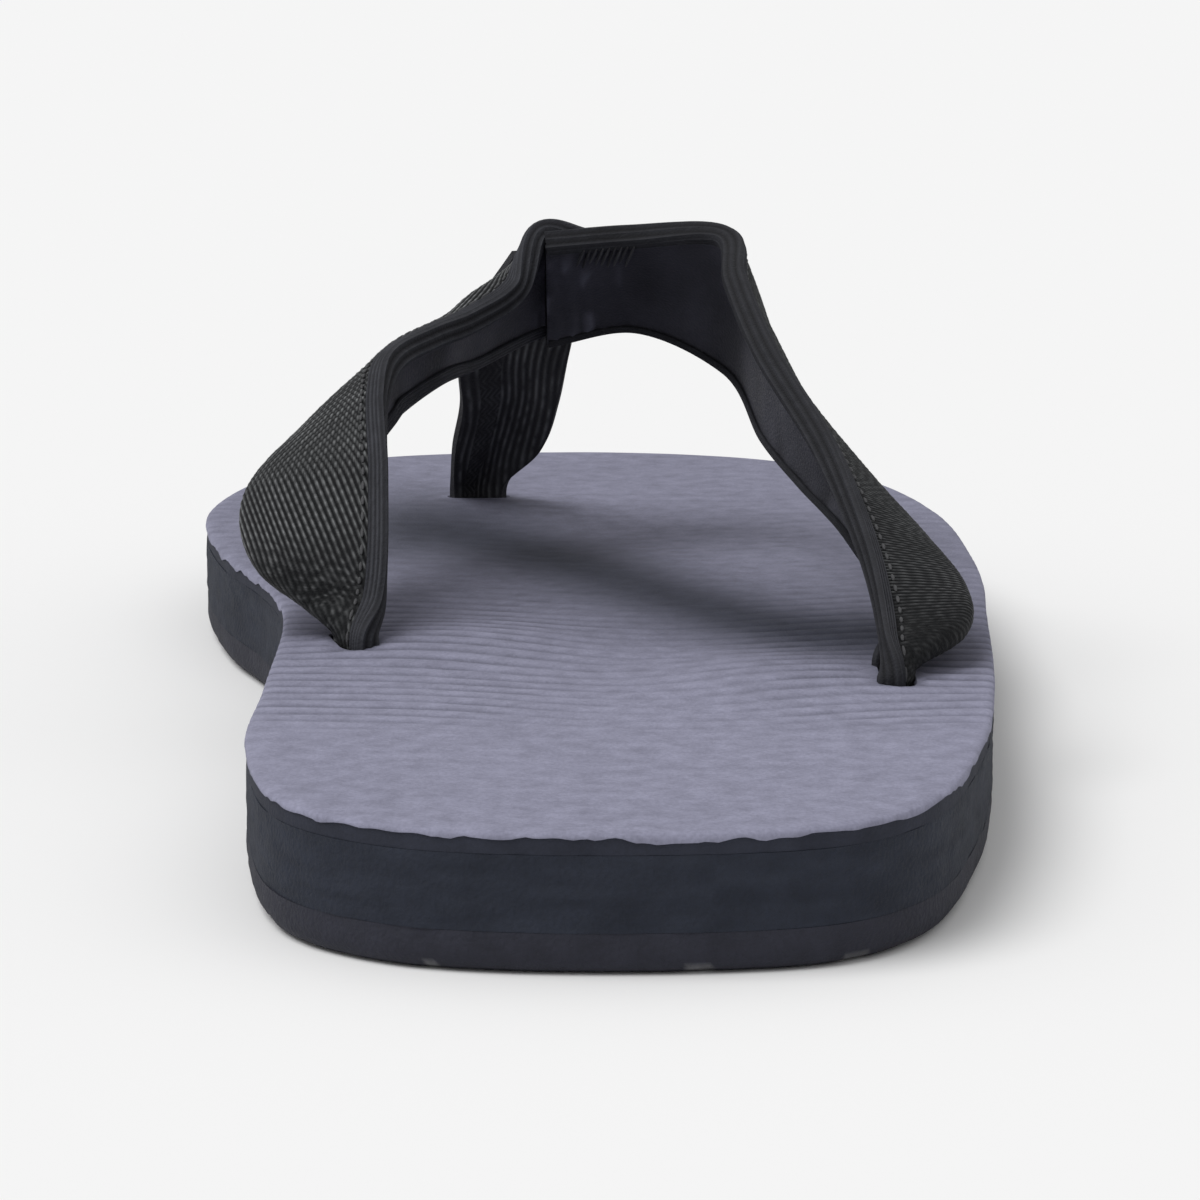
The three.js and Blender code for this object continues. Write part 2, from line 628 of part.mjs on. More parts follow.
const TRIM_START = 4; // the second station above the slot
const LAP_SETBACK = 4 / 3; // how many stations before its end the inner arm is only webbing
const innerEnd = MEDIAL_ARM.last - LAP_SETBACK;
const outerEnd = LATERAL_ARM.last;
const ARMS = [
  { name: "medial", surface: MEDIAL_ARM, liningEnd: innerEnd, trimEnd: innerEnd },
  { name: "lateral", surface: LATERAL_ARM, liningEnd: outerEnd, trimEnd: outerEnd - 1 },
];
for (const { name, surface, liningEnd, trimEnd } of ARMS) {
  add(`${name}_strap_webbing`, layer(surface, WEBBING, [0, surface.last]), WEBBING_CLOTH);
  add(`${name}_strap_lining`, layer(surface, LINING, [0, liningEnd]), LINING_CLOTH);
  for (const [edge, side] of ["rear", "front"].entries()) {
    const trim = [TRIM_START, trimEnd];
    add(`${name}_${side}_binding`, binding(surface, edge, trim), BINDING_TAPE);
    add(`${name}_${side}_stitching`, stitching(surface, edge, trim), THREAD);
  }
}

const footprint = new THREE.Box2().setFromPoints(OUTLINE).getCenter(new THREE.Vector2());
part.position.set(-footprint.x, -footprint.y, 0);

export default part;
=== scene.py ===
"""Looks of a right-foot flip flop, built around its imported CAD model.

Lengths are in millimetres until a mesh is made. In the foot's own frame x runs to the outer
side from the foot's line, y runs from the heel edge to the toe and z is the height over the
ground; `to_world` moves that frame onto the CAD model's.
"""
import math

import bmesh
import bpy
import numpy as np
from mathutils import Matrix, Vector, geometry


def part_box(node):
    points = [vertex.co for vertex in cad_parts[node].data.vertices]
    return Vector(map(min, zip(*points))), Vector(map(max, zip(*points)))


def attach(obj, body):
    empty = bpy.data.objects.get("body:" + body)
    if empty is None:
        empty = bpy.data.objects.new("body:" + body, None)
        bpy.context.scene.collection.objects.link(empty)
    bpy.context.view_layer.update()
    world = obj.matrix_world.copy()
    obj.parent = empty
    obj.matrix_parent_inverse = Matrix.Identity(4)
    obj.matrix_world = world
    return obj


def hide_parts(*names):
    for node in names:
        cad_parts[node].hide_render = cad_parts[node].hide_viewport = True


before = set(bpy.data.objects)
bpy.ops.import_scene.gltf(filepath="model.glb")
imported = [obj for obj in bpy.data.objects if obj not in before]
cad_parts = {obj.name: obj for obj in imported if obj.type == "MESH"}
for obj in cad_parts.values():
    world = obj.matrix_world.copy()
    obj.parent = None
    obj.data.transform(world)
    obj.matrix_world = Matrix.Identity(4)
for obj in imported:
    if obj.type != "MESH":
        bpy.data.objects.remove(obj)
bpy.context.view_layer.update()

MM = 0.001
SOLE_LENGTH = 272.0
TOP = 15.0  # height of the footbed
OUTSOLE_TOP = 4.5
TOE_HOLE_PLACE = (-17.5, 226.0, 0.0)
PLUGS = MEDIAL_PLUG, LATERAL_PLUG, TOE_PLUG = (
    "medial_anchor_plug", "lateral_anchor_plug", "toe_anchor_plug")

WEBBING_THICKNESS = 1.3
LINING_THICKNESS = 0.5
LAYER_GAP = 0.34
LAP_GAP = 0.8
# The heights of each layer's two faces over its strap's middle surface.
WEBBING_SPAN = (LAYER_GAP / 2, LAYER_GAP / 2 + WEBBING_THICKNESS)
LINING_SPAN = (-LAYER_GAP / 2 - LINING_THICKNESS, -LAYER_GAP / 2)
POST_SPAN = (-WEBBING_THICKNESS / 2, WEBBING_THICKNESS / 2)
TAPE_GAP = 0.2  # between a tape's inside and the layer that it folds over


def plug_middle(node):
    """The middle of an anchor plug's plan in the model's frame, in millimetres."""
    low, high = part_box(node)
    return np.array([(low[0] + high[0]) / 2, (low[1] + high[1]) / 2, 0]) / MM


FOOT_LINE = plug_middle(TOE_PLUG) - TOE_HOLE_PLACE


def to_world(points):
    """Points in the foot's frame, in millimetres, to the model's frame in metres."""
    return (np.asarray(points, dtype=float) + FOOT_LINE) * MM


# ------------------------------------------------------------------ curves


def knot_gap(a, b):
    gap = np.sqrt(np.linalg.norm(b - a, axis=-1, keepdims=True))
    return np.where(gap < 1e-2, 1.0, gap)


def spline_piece(p0, p1, p2, p3, t):
    """A centripetal Catmull-Rom piece from p1 to p2 at shares t; every argument may be an array."""
    d0, d1, d2 = knot_gap(p0, p1), knot_gap(p1, p2), knot_gap(p2, p3)
    slope1 = ((p1 - p0) / d0 - (p2 - p0) / (d0 + d1) + (p2 - p1) / d1) * d1
    slope2 = ((p2 - p1) / d1 - (p3 - p1) / (d1 + d2) + (p3 - p2) / d2) * d1
    cubic = 2 * p1 - 2 * p2 + slope1 + slope2
    square = -3 * p1 + 3 * p2 - 2 * slope1 - slope2
    return ((cubic * t + square) * t + slope1) * t + p1


def open_spline(knots, shares):
    """Points of the open spline through knots at shares of 0 to 1, even per knot."""
    knots = np.asarray(knots, dtype=float)
    padded = np.vstack([2 * knots[0] - knots[1], knots, 2 * knots[-1] - knots[-2]])
    place = np.clip(shares, 0, 1) * (len(knots) - 1)
    piece = np.minimum(place.astype(int), len(knots) - 2)
    t = (place - piece)[:, None]
    return spline_piece(padded[piece], padded[piece + 1], padded[piece + 2], padded[piece + 3], t)


def closed_spline(knots, per_piece):
    knots = np.asarray(knots, dtype=float)
    pieces = []
    for i in range(len(knots)):
        p0, p1, p2, p3 = (knots[(i + k - 1) % len(knots)] for k in range(4))
        t = np.linspace(0, 1, per_piece, endpoint=False)[:, None]
        pieces.append(spline_piece(p0, p1, p2, p3, t))
    return np.vstack(pieces)


def even_loop(points, spacing):
    """A closed loop of points resampled at an even spacing."""
    closed = np.vstack([points, points[:1]])
    run = np.concatenate([[0], np.cumsum(np.linalg.norm(np.diff(closed, axis=0), axis=1))])
    count = int(round(run[-1] / spacing))
    stops = np.linspace(0, run[-1], count, endpoint=False)
    return np.column_stack([np.interp(stops, run, closed[:, k]) for k in range(closed.shape[1])])


# ------------------------------------------------------------------ sole outline and openings

# Distance from the heel, reach to the inner edge, reach to the outer edge.
OUTLINE_ROWS = [
    (0, 10, 12), (4, 22.6, 25.3), (15, 33, 34.4), (45, 39, 42), (80, 39.2, 46), (130, 40, 48.8),
    (153, 44.2, 50), (175, 50.7, 50), (210, 55.5, 48), (238, 51.6, 41.8), (255, 44.6, 34),
    (267, 32, 20),
]
TOE_TIP_X = -6
POINTS_PER_ROW = 40
OUTLINE_SPACING = 0.7


def sole_outline(spacing):
    lateral = [(row[2], row[0]) for row in OUTLINE_ROWS]
    medial = [(-row[1], row[0]) for row in reversed(OUTLINE_ROWS)]
    knots = lateral + [(TOE_TIP_X, SOLE_LENGTH)] + medial
    return even_loop(closed_spline(knots, POINTS_PER_ROW), spacing)


def loop_normals(loop):
    """Unit directions that point outward from a closed loop that runs counter-clockwise."""
    along = np.roll(loop, -1, axis=0) - np.roll(loop, 1, axis=0)
    along /= np.linalg.norm(along, axis=1, keepdims=True)
    return np.column_stack([along[:, 1], -along[:, 0]])


def opening(node, turn, length, width, hollow, shift):
    """A strap opening over its plug.

    `turn` is in degrees from straight ahead, `hollow` is the side that the strap's hollow faces
    and `shift` is how far the strap stands off the opening's middle line.
    """
    x, y, _ = plug_middle(node) - FOOT_LINE
    return dict(x=x, y=y, turn=turn, length=length, width=width, hollow=hollow, shift=shift)


MEDIAL_SLOT = opening(MEDIAL_PLUG, -12, 13.6, 5, 1, 0.4)
LATERAL_SLOT = opening(LATERAL_PLUG, 0, 13.6, 5, -1, 0.4)
TOE_HOLE = opening(TOE_PLUG, 90, 9.8, 4, 1, 0)
OPENINGS = [MEDIAL_SLOT, LATERAL_SLOT, TOE_HOLE]


# ------------------------------------------------------------------ strap surfaces

JUNCTION = np.array([0.0, 180.0, TOP + 41.8])
JUNCTION_INNER_END = dict(rear=(-7.5, 0, -0.6), crown=(-7.5, 10, -7.3), front=(-7.5, 18.5, -16.1))
JUNCTION_MIDDLE = dict(rear=(4, 1.5, 0.2), crown=(4, 11, -6.5), front=(5, 19.5, -14.1))
MEDIAL_END = JUNCTION + JUNCTION_INNER_END["rear"]
LATERAL_END = JUNCTION + (16, -2, 0.9)
LAP_LIFT = WEBBING_THICKNESS + LAP_GAP
LAP_END = dict(rear=(-2.4, 0.6, -1.9), crown=(-1, 10.8, -6.7), front=(0, 19.2, -14.6))

# Each station is a share of the way from the opening to the junction, and the places of the
# strap's rear edge, crown and front edge from the straight line between the two.
MEDIAL_STATIONS = [
    (0.045, (2.6, -2.8, 2.7), (-5.8, -0.3, 3.1), (-3.8, 6.7, 1.1)),
    (0.1, (1.5, -1.9, 5.1), (-12.7, -1.9, 5.1), (-8.2, 5.6, 0.9)),
    (0.25, (-2.3, 0, 7), (-18.2, -2.9, 4.9), (-15, 4.1, -2.3)),
    (0.45, (-7.4, 0.4, 6.9), (-16.4, -1.6, 3), (-13.6, 6.4, -5)),
    (0.6, (-9.4, -0.6, 4.3), (-12.9, 1.4, 2.1), (-11, 7.4, -4.7)),
    (0.75, (-8.1, -1.6, -0.2), (-13.1, 1.4, -2.2), (-13.1, 4.4, -9.9)),
    (0.87, (-5.8, -2.4, -3.9), (-9.4, 1.6, -4.7), (-11.3, 4.6, -12.5)),
    (0.95, (-1.8, -1.3, -3.8), (-7.3, 2.7, -5.4), (-8.8, 10.7, -15.3)),
]
LATERAL_STATIONS = [
    (0.07, (-0.3, 0, 2.7), (8.7, 2.4, 1.3), (2.6, 9, 0.9)),
    (0.2, (1.2, -0.4, 1.7), (11.9, 1.2, -1.8), (5.2, 10.9, -4.6)),
    (0.35, (1.8, -0.6, 0.8), (11.2, 1.4, -4.8), (5.5, 11.4, -9.1)),
    (0.5, (1.6, -0.8, 0.2), (8.4, 4.2, -6.9), (5.6, 11.2, -12.6)),
    (0.7, (-1, 0.3, 0.7), (5.2, 1.8, -8.9), (5.2, 8.3, -18.1)),
    (0.86, (-1.4, 0.2, 1.3), (3.7, 2.2, -8.8), (4, 10.2, -21.5)),
    (1, (0, 0, 0), (1.6, 6, -8.2), (1.6, 15, -20.2)),
]
TOE_STATIONS = [
    (0.2, (-6.8, 0, 0), (-0.5, 2.7, 0.9), (5.8, 0, 0)),
    (0.4, (-9, 1.5, -1.2), (-2.4, 4, -0.2), (4.6, 1.5, -1)),
    (0.6, (-12.6, 6.1, -3.1), (-5.2, 7.6, -2.5), (2.6, 6.1, -2.1)),
    (0.78, (-13.7, 12.9, -3.6), (-6.2, 13.5, -3), (1, 12.9, -2.6)),
    (0.92, (-10.6, 10.5, -0.1), (-4.6, 10.8, 0.3), (1.9, 10.2, 0.5)),
]


TAIL_END_CLEARANCE = 1.1
TAIL_FOLD = 1.2
TAIL_HEIGHTS = (5.8, TOP - 2, TOP + 1.5)


def turn_matrix(opening):
    """Turns an opening's plan, kept as rows of (across, along), into the foot's frame."""
    angle = math.radians(-opening["turn"])
    return np.array([[math.cos(angle), math.sin(angle)], [-math.sin(angle), math.cos(angle)]])


def tail_stations(opening):
    """The stations of a strap's folded end, from inside its opening to just over the footbed."""
    reach = opening["length"] / 2 - TAIL_END_CLEARANCE
    edge = opening["hollow"] * (opening["shift"] + TAIL_FOLD)
    crown = opening["hollow"] * (opening["shift"] - TAIL_FOLD)
    section = np.array([(edge, -reach), (crown, 0), (edge, reach)]) @ turn_matrix(opening)
    section += (opening["x"], opening["y"])
    return [np.column_stack([section, np.full(3, z)]) for z in TAIL_HEIGHTS]


def arm_stations(opening, stations, end):
    start = np.array([opening["x"], opening["y"], TOP])
    run = [np.array(points) + start + (end - start) * along for along, *points in stations]
    return tail_stations(opening) + run


def lifted(station, lift):
    """A junction station, raised along the junction's outward direction."""
    up = np.array([0, 1, 1]) / math.sqrt(2) * lift
    return np.array([station["rear"], station["crown"], station["front"]]) + JUNCTION + up


class Strap:
    """The smooth surface through a strap's stations: u along it, v from rear to front edge."""

    def __init__(self, stations, outward):
        self.stations = np.array(stations)
        self.outward = outward
        self.last = len(stations) - 1

    def lengths(self, u, v):
        """Distance along the crown from the first station, and across from the rear edge."""
        samples = np.linspace(0, 1, 400)
        rear, crown, front = (open_spline(self.stations[:, k], samples) for k in range(3))
        run = np.concatenate([[0], np.cumsum(np.linalg.norm(np.diff(crown, axis=0), axis=1))])
        first = np.interp(u, samples, np.linalg.norm(rear - crown, axis=1))
        second = np.interp(u, samples, np.linalg.norm(front - crown, axis=1))
        across = first * np.minimum(2 * v, 1) + second * np.maximum(2 * v - 1, 0)
        return np.interp(u, samples, run), across

    def point(self, u, v):
        rear, crown, front = (open_spline(self.stations[:, k], u) for k in range(3))
        v = np.clip(v, 0, 1)
        t = np.where(v < 0.5, v * 2, v * 2 - 1)[:, None]
        first = spline_piece(2 * rear - crown, rear, crown, front, t)
        second = spline_piece(rear, crown, front, 2 * front - crown, t)
        return np.where(v[:, None] < 0.5, first, second)

    def frame(self, u, v):
        """Point, outward normal and unit direction across, at each u, v."""
        small = 1e-3
        u = np.clip(u, small, 1 - small)
        along = self.point(u + small, v) - self.point(u - small, v)
        low, high = np.clip(v - small, 0, 1), np.clip(v + small, 0, 1)
        across = self.point(u, high) - self.point(u, low)
        normal = np.cross(along, across) * self.outward
        normal /= np.linalg.norm(normal, axis=1, keepdims=True)
        across /= np.linalg.norm(across, axis=1, keepdims=True)
        return self.point(u, v), normal, across

    def edge_place(self, u, edge, inward, height):
        """The place at a distance in from the rear (0) or front (1) edge and over the surface."""
        side = -1 if edge else 1
        near = 0.04
        step = self.point(u, 0 * u + edge + side * near) - self.point(u, 0 * u + edge)
        pace = np.linalg.norm(step, axis=1)
        place, normal, across = self.frame(u, edge + side * near * np.maximum(inward, 0) / pace)
        beyond = side * np.minimum(inward, 0)
        return place + normal * np.reshape(height, (-1, 1)) + across * np.reshape(beyond, (-1, 1))


medial_arm = Strap(arm_stations(MEDIAL_SLOT, MEDIAL_STATIONS, MEDIAL_END)
                   + [lifted(JUNCTION_INNER_END, LAP_LIFT), lifted(LAP_END, LAP_LIFT)], 1)
lateral_arm = Strap(arm_stations(LATERAL_SLOT, LATERAL_STATIONS, LATERAL_END)
                    + [lifted(JUNCTION_MIDDLE, 0), lifted(JUNCTION_INNER_END, 0)], -1)
toe_post = Strap(arm_stations(TOE_HOLE, TOE_STATIONS, JUNCTION), 1)


# ------------------------------------------------------------------ noise


def scatter(x, y, seed):
    """A repeatable random share for each whole-number place."""
    value = np.sin(x * 127.1 + y * 311.7 + seed * 74.7) * 43758.5453
    return value - np.floor(value)


def smooth_noise(x, y, seed):
    """Smooth noise of -1 to 1 with features one unit wide."""
    column, row = np.floor(x), np.floor(y)
    a, b = x - column, y - row
    a, b = a * a * (3 - 2 * a), b * b * (3 - 2 * b)
    low = scatter(column, row, seed) * (1 - a) + scatter(column + 1, row, seed) * a
    high = scatter(column, row + 1, seed) * (1 - a) + scatter(column + 1, row + 1, seed) * a
    return 2 * (low * (1 - b) + high * b) - 1


def ramp(value, start, end):
    share = np.clip((value - start) / (end - start), 0, 1)
    return share * share * (3 - 2 * share)


def wave(phase):
    return 0.5 + 0.5 * np.cos(2 * math.pi * phase)


# ------------------------------------------------------------------ mesh helpers

SHARP_ANGLE = math.radians(48)
NO_POINTS = np.array([], dtype=int)


def no_hole(x, y):
    return np.zeros(len(x), dtype=bool)


class Body:
    """The points, tones and faces of one closed mesh."""

    def __init__(self):
        self.points, self.tones, self.faces, self.count = [], [], [], 0

    def add(self, points, tone=0.0):
        start = self.count
        self.points.append(np.asarray(points, dtype=float))
        self.tones.append(np.broadcast_to(np.asarray(tone, dtype=float), len(points)))
        self.count += len(points)
        return np.arange(start, self.count)

    def join(self, first, second):
        """Quads between two rings of points."""
        after, across = np.roll(first, -1), np.roll(second, -1)
        self.faces += np.column_stack([first, after, across, second]).tolist()

    def wall(self, rings):
        """Rings given as (points, tone), joined in order; returns the first and the last."""
        indices = [self.add(points, tone) for points, tone in rings]
        for first, second in zip(indices, indices[1:]):
            self.join(first, second)
        return indices[0], indices[-1]

    def grid(self, indices):
        corners = [indices[:-1, :-1], indices[:-1, 1:], indices[1:, 1:], indices[1:, :-1]]
        self.faces += np.column_stack([corner.ravel() for corner in corners]).tolist()

    def cap(self, loops, inner, in_hole):
        """Triangles between an outer loop and hole loops, through more points inside."""
        indices = np.concatenate(loops + [inner])
        points = np.vstack(self.points)[indices]
        edges, start = [], 0
        for loop in loops:
            edges += [(start + i, start + (i + 1) % len(loop)) for i in range(len(loop))]
            start += len(loop)
        plan = [Vector((x, y)) for x, y in points[:, :2].tolist()]
        result = geometry.delaunay_2d_cdt(plan, edges, [list(range(len(loops[0])))], 1, 1e-6)
        origin = [sources[0] for sources in result[3]]
        faces = np.array([[origin[corner] for corner in face] for face in result[2]])
        middle = points[faces].mean(axis=1)
        keep = ~in_hole(middle[:, 0], middle[:, 1])
        self.faces += indices[faces[keep]].tolist()

    def finish(self, name, material, replaces):
        mesh = bpy.data.meshes.new(name)
        mesh.from_pydata(to_world(np.vstack(self.points)).tolist(), [], self.faces)
        tone = mesh.attributes.new("tone", "FLOAT", "POINT")
        tone.data.foreach_set("value", np.concatenate(self.tones).astype(np.float32))
        shape = bmesh.new()
        shape.from_mesh(mesh)
        bmesh.ops.recalc_face_normals(shape, faces=shape.faces)
        shape.to_mesh(mesh)
        shape.free()
        mesh.polygons.foreach_set("use_smooth", [True] * len(mesh.polygons))
        mesh.set_sharp_from_angle(angle=SHARP_ANGLE)
        mesh.materials.append(material)
        mesh.update()
        piece = bpy.data.objects.new(name, mesh)
        bpy.context.collection.objects.link(piece)
        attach(piece, "root")
        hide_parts(*replaces)
        return piece


# ------------------------------------------------------------------ materials


def surface(name, dark, light, roughness, mottle, grain, depth, specular=0.2, sheen=0.0):
    """Colour runs from dark to light with the mesh's tone, under mottling and a fine grain.

    `mottle` and `grain` are the sizes of the two patterns and `depth` is the grain's own depth.
    """
    material = bpy.data.materials.new(name)
    material.use_nodes = True
    nodes, links = material.node_tree.nodes, material.node_tree.links
    shader = nodes["Principled BSDF"]
    place = nodes.new("ShaderNodeTexCoord").outputs["Object"]

    def noise(size, low, high):
        texture = nodes.new("ShaderNodeTexNoise")
        texture.inputs["Scale"].default_value = 1 / (size * MM)
        texture.inputs["Detail"].default_value = 4
        links.new(place, texture.inputs["Vector"])
        spread = nodes.new("ShaderNodeMapRange")
        spread.inputs["From Min"].default_value = 0.3
        spread.inputs["From Max"].default_value = 0.7
        spread.inputs["To Min"].default_value = low
        spread.inputs["To Max"].default_value = high
        links.new(texture.outputs["Fac"], spread.inputs["Value"])
        return spread.outputs["Result"]

    tone = nodes.new("ShaderNodeAttribute")
    tone.attribute_name = "tone"
    blend = nodes.new("ShaderNodeMix")
    blend.data_type = "RGBA"
    blend.inputs[6].default_value = (*dark, 1)
    blend.inputs[7].default_value = (*light, 1)
    links.new(tone.outputs["Fac"], blend.inputs["Factor"])
    color = blend.outputs[2]
    for size, low, high in ((mottle, 0.86, 1.12), (grain, 0.88, 1.1)):
        shade = nodes.new("ShaderNodeMix")
        shade.data_type = "RGBA"
        shade.blend_type = "MULTIPLY"
        shade.inputs["Factor"].default_value = 1
        links.new(color, shade.inputs[6])
        links.new(noise(size, low, high), shade.inputs[7])
        color = shade.outputs[2]
    links.new(color, shader.inputs["Base Color"])
    links.new(noise(grain, roughness - 0.08, roughness + 0.08), shader.inputs["Roughness"])
    bump = nodes.new("ShaderNodeBump")
    bump.inputs["Distance"].default_value = depth * MM
    links.new(noise(grain, 0, 1), bump.inputs["Height"])
    links.new(bump.outputs["Normal"], shader.inputs["Normal"])
    shader.inputs["Specular IOR Level"].default_value = specular
    shader.inputs["Sheen Weight"].default_value = sheen
    return material


WALL_COLOR = (0.017, 0.020, 0.030)
FOOTBED = surface("footbed_foam", WALL_COLOR, (0.274, 0.274, 0.366), 0.85, 3, 0.45, 0.05)
MIDSOLE = surface("midsole_foam", WALL_COLOR, (0.031, 0.036, 0.052), 0.8, 4, 0.6, 0.12)
OUTSOLE = surface("outsole_rubber", (0.021, 0.022, 0.034), (0.14, 0.14, 0.15), 0.75, 4, 0.6, 0.12)
# For the webbing, post, lining and tape the light colour shows mostly as painted highlight: their
# tone lifts it on rib, pleat and ridge crests.
WEBBING = surface("strap_webbing", (0.0035, 0.004, 0.005), (0.270, 0.278, 0.284), 0.8, 6, 0.35, 0.08)
POST = surface("post_webbing", (0.021, 0.021, 0.025), (0.118, 0.122, 0.132), 0.75, 5, 0.35, 0.08)
LINING = surface("strap_lining", (0.030, 0.030, 0.036), (0.125, 0.127, 0.158), 0.65, 7, 0.4, 0.08)
TAPE = surface("edge_tape", (0.006, 0.006, 0.008), (0.056, 0.058, 0.069), 0.7, 5, 0.3, 0.06)
THREAD = surface("stitch_thread", (0.012, 0.012, 0.014), (0.21, 0.21, 0.22), 0.55, 2, 0.2, 0.04)
PLASTIC = surface("plug_plastic", (0.012, 0.012, 0.014), (0.03, 0.03, 0.03), 0.45, 6, 0.5, 0.03, 0.4)


# ------------------------------------------------------------------ sole

OUTLINE = sole_outline(OUTLINE_SPACING)
OUTLINE_OUT = loop_normals(OUTLINE)
OUTLINE_RUN = np.arange(len(OUTLINE)) * OUTLINE_SPACING
MOUND_RISE = 1.2
MOUND_OFFSET = 13  # from a side slot to the middle of its mound
MOUND_RADIUS = 24
HOLLOW_DEPTH = 0.9
HOLLOW_X = -4
HOLLOW_RADIUS = 34
RIB_PITCH = 4.2
RIB_DEPTH = 0.26
# how dark the painted shade in the footbed's rib grooves is
PAINTED_GROOVE_SHADE = 0.45
# how dark the painted shadow of the straps and junction on the footbed is
PAINTED_STRAP_SHADOW = 0.86
COVER_THICKNESS = 2.4
SEAM = 0.015  # from a layer's face to the middle of the joint with the next
LIP = 0.7  # how far the foam closes in on a strap
LIP_ROUNDING = 0.35
INNER_INSET = 1.5  # from the wall to the flat faces' triangles


def ring(inset, height):
    """The outline moved inward, at a height; either may differ from point to point."""
    plan = OUTLINE - OUTLINE_OUT * np.reshape(inset, (-1, 1))
    return np.column_stack([plan, np.broadcast_to(height, len(plan))])


def turned(x, y, opening):
    """Places across and along an opening, from its middle."""
    angle = math.radians(-opening["turn"])
    x, y = x - opening["x"], y - opening["y"]
    return x * math.cos(angle) + y * math.sin(angle), y * math.cos(angle) - x * math.sin(angle)


def in_opening(x, y, margin=0.0):
    found = np.zeros(np.shape(x), dtype=bool)
    for opening in OPENINGS:
        across, along = turned(x, y, opening)
        reach = (opening["length"] - opening["width"]) / 2
        beyond = np.maximum(np.abs(along) - reach, 0)
        found |= np.hypot(across, beyond) < opening["width"] / 2 + margin
    return found


def opening_ring(opening, margin, height):
    """The round-ended outline of a strap opening, moved outward by a margin."""
    radius = opening["width"] / 2 + margin
    reach = (opening["length"] - opening["width"]) / 2
    turns = np.linspace(0, math.pi, 11)
    end = np.column_stack([radius * np.cos(turns), reach + radius * np.sin(turns)])
    plan = np.vstack([end, -end]) @ turn_matrix(opening) + (opening["x"], opening["y"])
    heights = height(plan[:, 0], plan[:, 1]) if callable(height) else height
    return np.column_stack([plan, np.broadcast_to(heights, len(plan))])


def inside_points(loop, rows, spacing, margin):
    """Grid points inside a closed loop, on the given rows and clear of it."""
    found = []
    for y in rows:
        before, after = loop, np.roll(loop, -1, axis=0)
        crosses = (before[:, 1] <= y) != (after[:, 1] <= y)
        share = (y - before[crosses, 1]) / (after[crosses, 1] - before[crosses, 1])
        x = before[crosses, 0] + share * (after[crosses, 0] - before[crosses, 0])
        if len(x) < 2 or x.max() - x.min() < 3 * margin:
            continue
        stops = np.arange(x.min() + margin, x.max() - margin, spacing)
        found.append(np.column_stack([stops, np.full(len(stops), y)]))
    return np.vstack(found)


def mound(x, y, middle_x, middle_y, radius):
    """A smooth mound, 1 at its middle and 0 from its radius on."""
    return (1 + np.cos(math.pi * np.minimum(1, np.hypot(x - middle_x, y - middle_y) / radius))) / 2


def rib_groove(x, y):
    """How deep the grooves between the footbed's ribs are at a place, from 0 to 1."""
    sag = 9 * np.exp(-(((x - 6) / 15) ** 2) / 2) + 0.7 * smooth_noise(x / 16, y / 12, 3)
    line = wave((y + sag) / RIB_PITCH) ** 3
    strength = ramp(y, 48, 66) * (1 - 0.75 * ramp(y, 118, 150)) * (1 - ramp(y, 215, 235))
    sides = 0.35 + 0.65 * np.maximum(1 - ramp(x, -14, 6), ramp(x, 14, 24))
    broken = 0.75 + 0.25 * smooth_noise(x / 7, y / 2, 5)
    return line * strength * sides * broken


def footbed_height(x, y):
    """The footbed's height without its fine relief."""
    medial = mound(x, y, MEDIAL_SLOT["x"] + MOUND_OFFSET, MEDIAL_SLOT["y"], MOUND_RADIUS)
    lateral = mound(x, y, LATERAL_SLOT["x"] - MOUND_OFFSET, LATERAL_SLOT["y"], MOUND_RADIUS)
    hollow = mound(x, y, HOLLOW_X, TOE_HOLE["y"] - HOLLOW_RADIUS, HOLLOW_RADIUS)
    return TOP + MOUND_RISE * np.maximum(medial, lateral) - HOLLOW_DEPTH * hollow


def footbed_top(x, y):
    """The footbed's height with its grooves and wrinkles."""
    wrinkle = 0.03 * smooth_noise(x / 9, y / 6, 8)
    return footbed_height(x, y) - RIB_DEPTH * rib_groove(x, y) + wrinkle


def footbed_tone(x, y):
    """Lightness of the foam, with painted shade: darker in the grooves and toward the front, and a
    painted shadow of the straps and junction in a band from behind the toe post to beside the outer
    strap.
    """
    worn = 0.04 * smooth_noise(x / 11, y / 9, 11) + 0.015 * smooth_noise(x / 2.5, y / 2, 12)
    # The painted shadow of the straps and junction: a band whose middle runs from behind the toe
    # post to beside the outer strap.
    middle = 199 - 86 * ramp(x, -28, 32)
    spread = 24 - 9 * ramp(x, -10, 30)
    sides = ramp(x, -50, -24) * (1 - 0.6 * ramp(x, 36, 46))
    painted_strap_shadow = PAINTED_STRAP_SHADOW * np.exp(-(((y - middle) / spread) ** 2) / 2) * sides
    streaks = 0.03 * smooth_noise(x / 9, y / 0.7, 13)
    # Painted shade in the rib grooves and toward the front under the straps; worn and streaks vary
    # at random.
    tone_before_strap_shadow = 0.99 - PAINTED_GROOVE_SHADE * rib_groove(x, y) - 0.16 * ramp(y, 68, 125) + worn + streaks
    return tone_before_strap_shadow * (1 - painted_strap_shadow)


def rim_edge():
    """How far down the wall the footbed's skin reaches, ragged round the heel."""
    run = OUTLINE_RUN
    teeth = np.abs(smooth_noise(run / 2.1, 0 * run, 21))
    waves = np.abs(smooth_noise(run / 5.2, 0 * run, 22))
    return 0.12 + 0.3 * teeth + 0.7 * waves * waves


